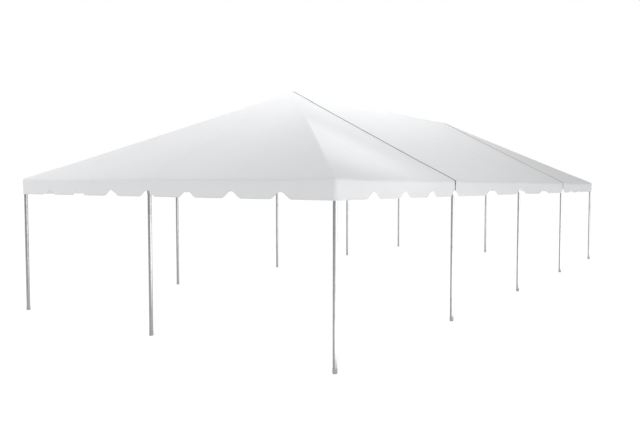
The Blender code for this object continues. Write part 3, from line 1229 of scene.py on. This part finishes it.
class TENT_OT_valance(bpy.types.Operator):
    """Hang the scalloped valance and bind its edge"""

    bl_idname = "tent.valance"
    bl_label = "Valance"

    def execute(self, context):
        for end in ENDS:
            add_valance(f"{end}_valance", valance_line(end), PANEL_NODES[end])
        for side, toward in SIDES.items():
            line = valance_line("middle", toward)
            node = f"middle_{side}_roof_panel"
            add_valance(f"middle_{side}_valance", line, [node])
        return {"FINISHED"}


class TENT_OT_joint_straps(bpy.types.Operator):
    """Lay the grey straps over the joints between sections"""

    bl_idname = "tent.joint_straps"
    bl_label = "Joint Straps"

    def execute(self, context):
        for end in ENDS:
            add_joint_strap(end)
        return {"FINISHED"}


class TENT_OT_legs(bpy.types.Operator):
    """Stand the twelve legs"""

    bl_idname = "tent.legs"
    bl_label = "Legs"

    def execute(self, context):
        for node in LEG_NODES:
            add_leg(node)
        return {"FINISHED"}


class TENT_OT_eave_frame(bpy.types.Operator):
    """Fit the eave rails with their tee fittings and ties"""

    bl_idname = "tent.eave_frame"
    bl_label = "Eave Frame"

    def execute(self, context):
        for node in RAIL_NODES:
            add_rail_run(node)
        return {"FINISHED"}


class TENT_OT_corner_fittings(bpy.types.Operator):
    """Fit the four corner fittings"""

    bl_idname = "tent.corner_fittings"
    bl_label = "Corner Fittings"

    def execute(self, context):
        for end, toward_end in ENDS.items():
            rail = bar_axis(f"{end}_eave_rail")
            for side, toward_side in SIDES.items():
                leg = bar_axis(f"{end}_{side}_leg")
                centre = crossing(rail, leg)
                ways = [Vector((-toward_side, 0, 0)), Vector((0, -toward_end, 0))]
                node = f"{end}_{side}_corner_fitting"
                add_fitting(f"{node}_sleeves", centre, [*ways, *bars_at(centre)], node)
        return {"FINISHED"}


class TENT_OT_roof_frame(bpy.types.Operator):
    """Fit the rafters, the ridge pole and the crown fittings"""

    bl_idname = "tent.roof_frame"
    bl_label = "Roof Frame"

    def execute(self, context):
        for node in RAFTER_NODES:
            add_bar(f"{node}_tube", *bar_axis(node), node)
        add_ridge()
        return {"FINISHED"}


class TENT_OT_stage(bpy.types.Operator):
    """Set the camera, the studio lights and the floor"""

    bl_idname = "tent.stage"
    bl_label = "Studio"

    def execute(self, context):
        add_camera()
        add_sky()
        add_floor()
        add_lights()
        add_reflector()
        context.scene.view_settings.view_transform = "Standard"
        return {"FINISHED"}


def add_camera():
    stage = settings("tent_stage")
    lens = bpy.data.cameras.new("camera")
    lens.lens = stage.lens
    lens.shift_x = stage.shift
    lens.clip_end = 2000
    heading = Matrix.Rotation(stage.camera_heading, 4, "Z")
    tilt = Matrix.Rotation(pi / 2 - stage.camera_tilt, 4, "X")
    roll = Matrix.Rotation(stage.camera_roll, 4, "Z")
    camera = bpy.data.objects.new("camera", lens)
    camera.matrix_world = Matrix.Translation(stage.camera_place) @ heading @ tilt @ roll
    bpy.context.scene.collection.objects.link(camera)
    bpy.context.scene.camera = camera


def add_sky():
    """Even light, stronger overhead, in front of a white backdrop."""
    stage = settings("tent_stage")
    world = bpy.data.worlds.new("studio")
    bpy.context.scene.world = world
    world.use_nodes = True
    tree = world.node_tree
    tree.nodes.remove(tree.nodes["Background"])
    nodes = Nodes(tree)
    height = nodes.add("ShaderNodeTexCoord", {}, {}, "Generated").parts()[2]
    strength = stage.horizon + (height + height.size()) * (stage.zenith / 2)
    light = nodes.add("ShaderNodeBackground", {}, {"Color": WHITE, "Strength": strength})
    backdrop = nodes.add("ShaderNodeBackground", {}, {"Color": WHITE, "Strength": 1.0})
    seen = nodes.add("ShaderNodeLightPath", {}, {}, "Is Camera Ray")
    sky = nodes.add("ShaderNodeMixShader", {}, {0: seen, 1: light, 2: backdrop})
    nodes.join(tree.nodes["World Output"].inputs["Surface"], sky)


def lit_finish(name, colour, glow):
    """A matt surface of the studio that also gives off white light."""
    finish = Finish(name, colour, roughness=0.9)
    finish.feed("Emission Color", WHITE)
    finish.feed("Emission Strength", glow)
    return finish.material


def add_floor():
    stage = settings("tent_stage")
    bm = bmesh.new()
    bmesh.ops.create_circle(bm, cap_ends=True, segments=96, radius=400)
    floor = add_object("floor", bm)
    floor.data.materials.append(lit_finish("studio floor", stage.floor, stage.floor_glow))


def aim_light(name, light, place, target):
    lamp = bpy.data.objects.new(name, light)
    lamp.location = place
    lamp.rotation_euler = (Vector(target) - Vector(place)).to_track_quat("-Z", "Y").to_euler()
    lamp.visible_camera = False
    lamp.visible_glossy = False
    bpy.context.scene.collection.objects.link(lamp)


def add_softbox(name, size, place, target, power):
    light = bpy.data.lights.new(name, "AREA")
    light.shape = "RECTANGLE"
    light.size, light.size_y = size
    light.energy = power
    aim_light(name, light, place, target)


def add_spot(name, cone, place, target, power):
    light = bpy.data.lights.new(name, "SPOT")
    light.spot_size = radians(cone)
    light.spot_blend = 1
    light.shadow_soft_size = 0.3
    light.energy = power
    aim_light(name, light, place, target)


def add_lights():
    add_softbox("apex_light", (1.5, 1.5), (2.2, -3.3, 6), (0.8, -3.6, 3.3), 15)
    add_softbox("ridge_light", (1, 8), (0, -0.6, 6.8), (0, -0.6, 3.5), 116)
    add_softbox("left_light", (2.7, 2.7), (-6, -8, 6.6), (-1.5, -4.5, 2.4), 150)
    add_softbox("right_light", (2, 2), (7.6, -6.1, 2.9), (3, -5.2, 2), 38)
    add_spot("hip_light", 18, (8.5, 0.5, 4.6), (1.8, -5.2, 2.79), 1000)


def add_reflector():
    """A bright card that only shiny surfaces reflect, flat beside the legs, then upright."""
    near, far, lift, height = 3.3, 8.5, 0.01, 3
    front, back = -9, 7.5
    profile = ((near, lift), (far, lift), (far, height))
    bm = bmesh.new()
    here, there = [[bm.verts.new((x, y, z)) for x, z in profile] for y in (front, back)]
    for number in (0, 1):
        bm.faces.new((here[number], here[number + 1], there[number + 1], there[number]))
    card = add_object("reflector", bm)
    finish = lit_finish("reflector card", WHITE, settings("tent_stage").card_glow)
    finish.cycles.emission_sampling = "NONE"
    card.data.materials.append(finish)
    card.visible_camera = False
    card.visible_diffuse = False
    card.visible_shadow = False


class TENT_PT_panel(bpy.types.Panel):
    """Lists the tent's pieces and settings"""

    bl_idname = "TENT_PT_panel"
    bl_label = "Frame Tent"
    bl_space_type = "VIEW_3D"
    bl_region_type = "UI"
    bl_category = "Tent"

    def draw(self, context):
        for operator in OPERATORS:
            self.layout.operator(operator.bl_idname)
        for name, group in SETTINGS.items():
            box = self.layout.box()
            box.label(text=group.__doc__)
            for key in group.__annotations__:
                box.prop(getattr(context.scene, name), key)


OPERATORS = (
    TENT_OT_legs,
    TENT_OT_eave_frame,
    TENT_OT_corner_fittings,
    TENT_OT_roof_frame,
    TENT_OT_top,
    TENT_OT_valance,
    TENT_OT_joint_straps,
    TENT_OT_stage,
)


def register():
    for group in SETTINGS.values():
        bpy.utils.register_class(group)
    for name, group in SETTINGS.items():
        setattr(bpy.types.Scene, name, PointerProperty(type=group))
    for operator in OPERATORS:
        bpy.utils.register_class(operator)
    bpy.utils.register_class(TENT_PT_panel)


def unregister():
    bpy.utils.unregister_class(TENT_PT_panel)
    for operator in reversed(OPERATORS):
        bpy.utils.unregister_class(operator)
    for name in SETTINGS:
        delattr(bpy.types.Scene, name)
    for group in reversed(list(SETTINGS.values())):
        bpy.utils.unregister_class(group)


def main():
    register()
    for operator in OPERATORS:
        family, name = operator.bl_idname.split(".")
        getattr(getattr(bpy.ops, family), name)()


if __name__ == "__main__":
    main()
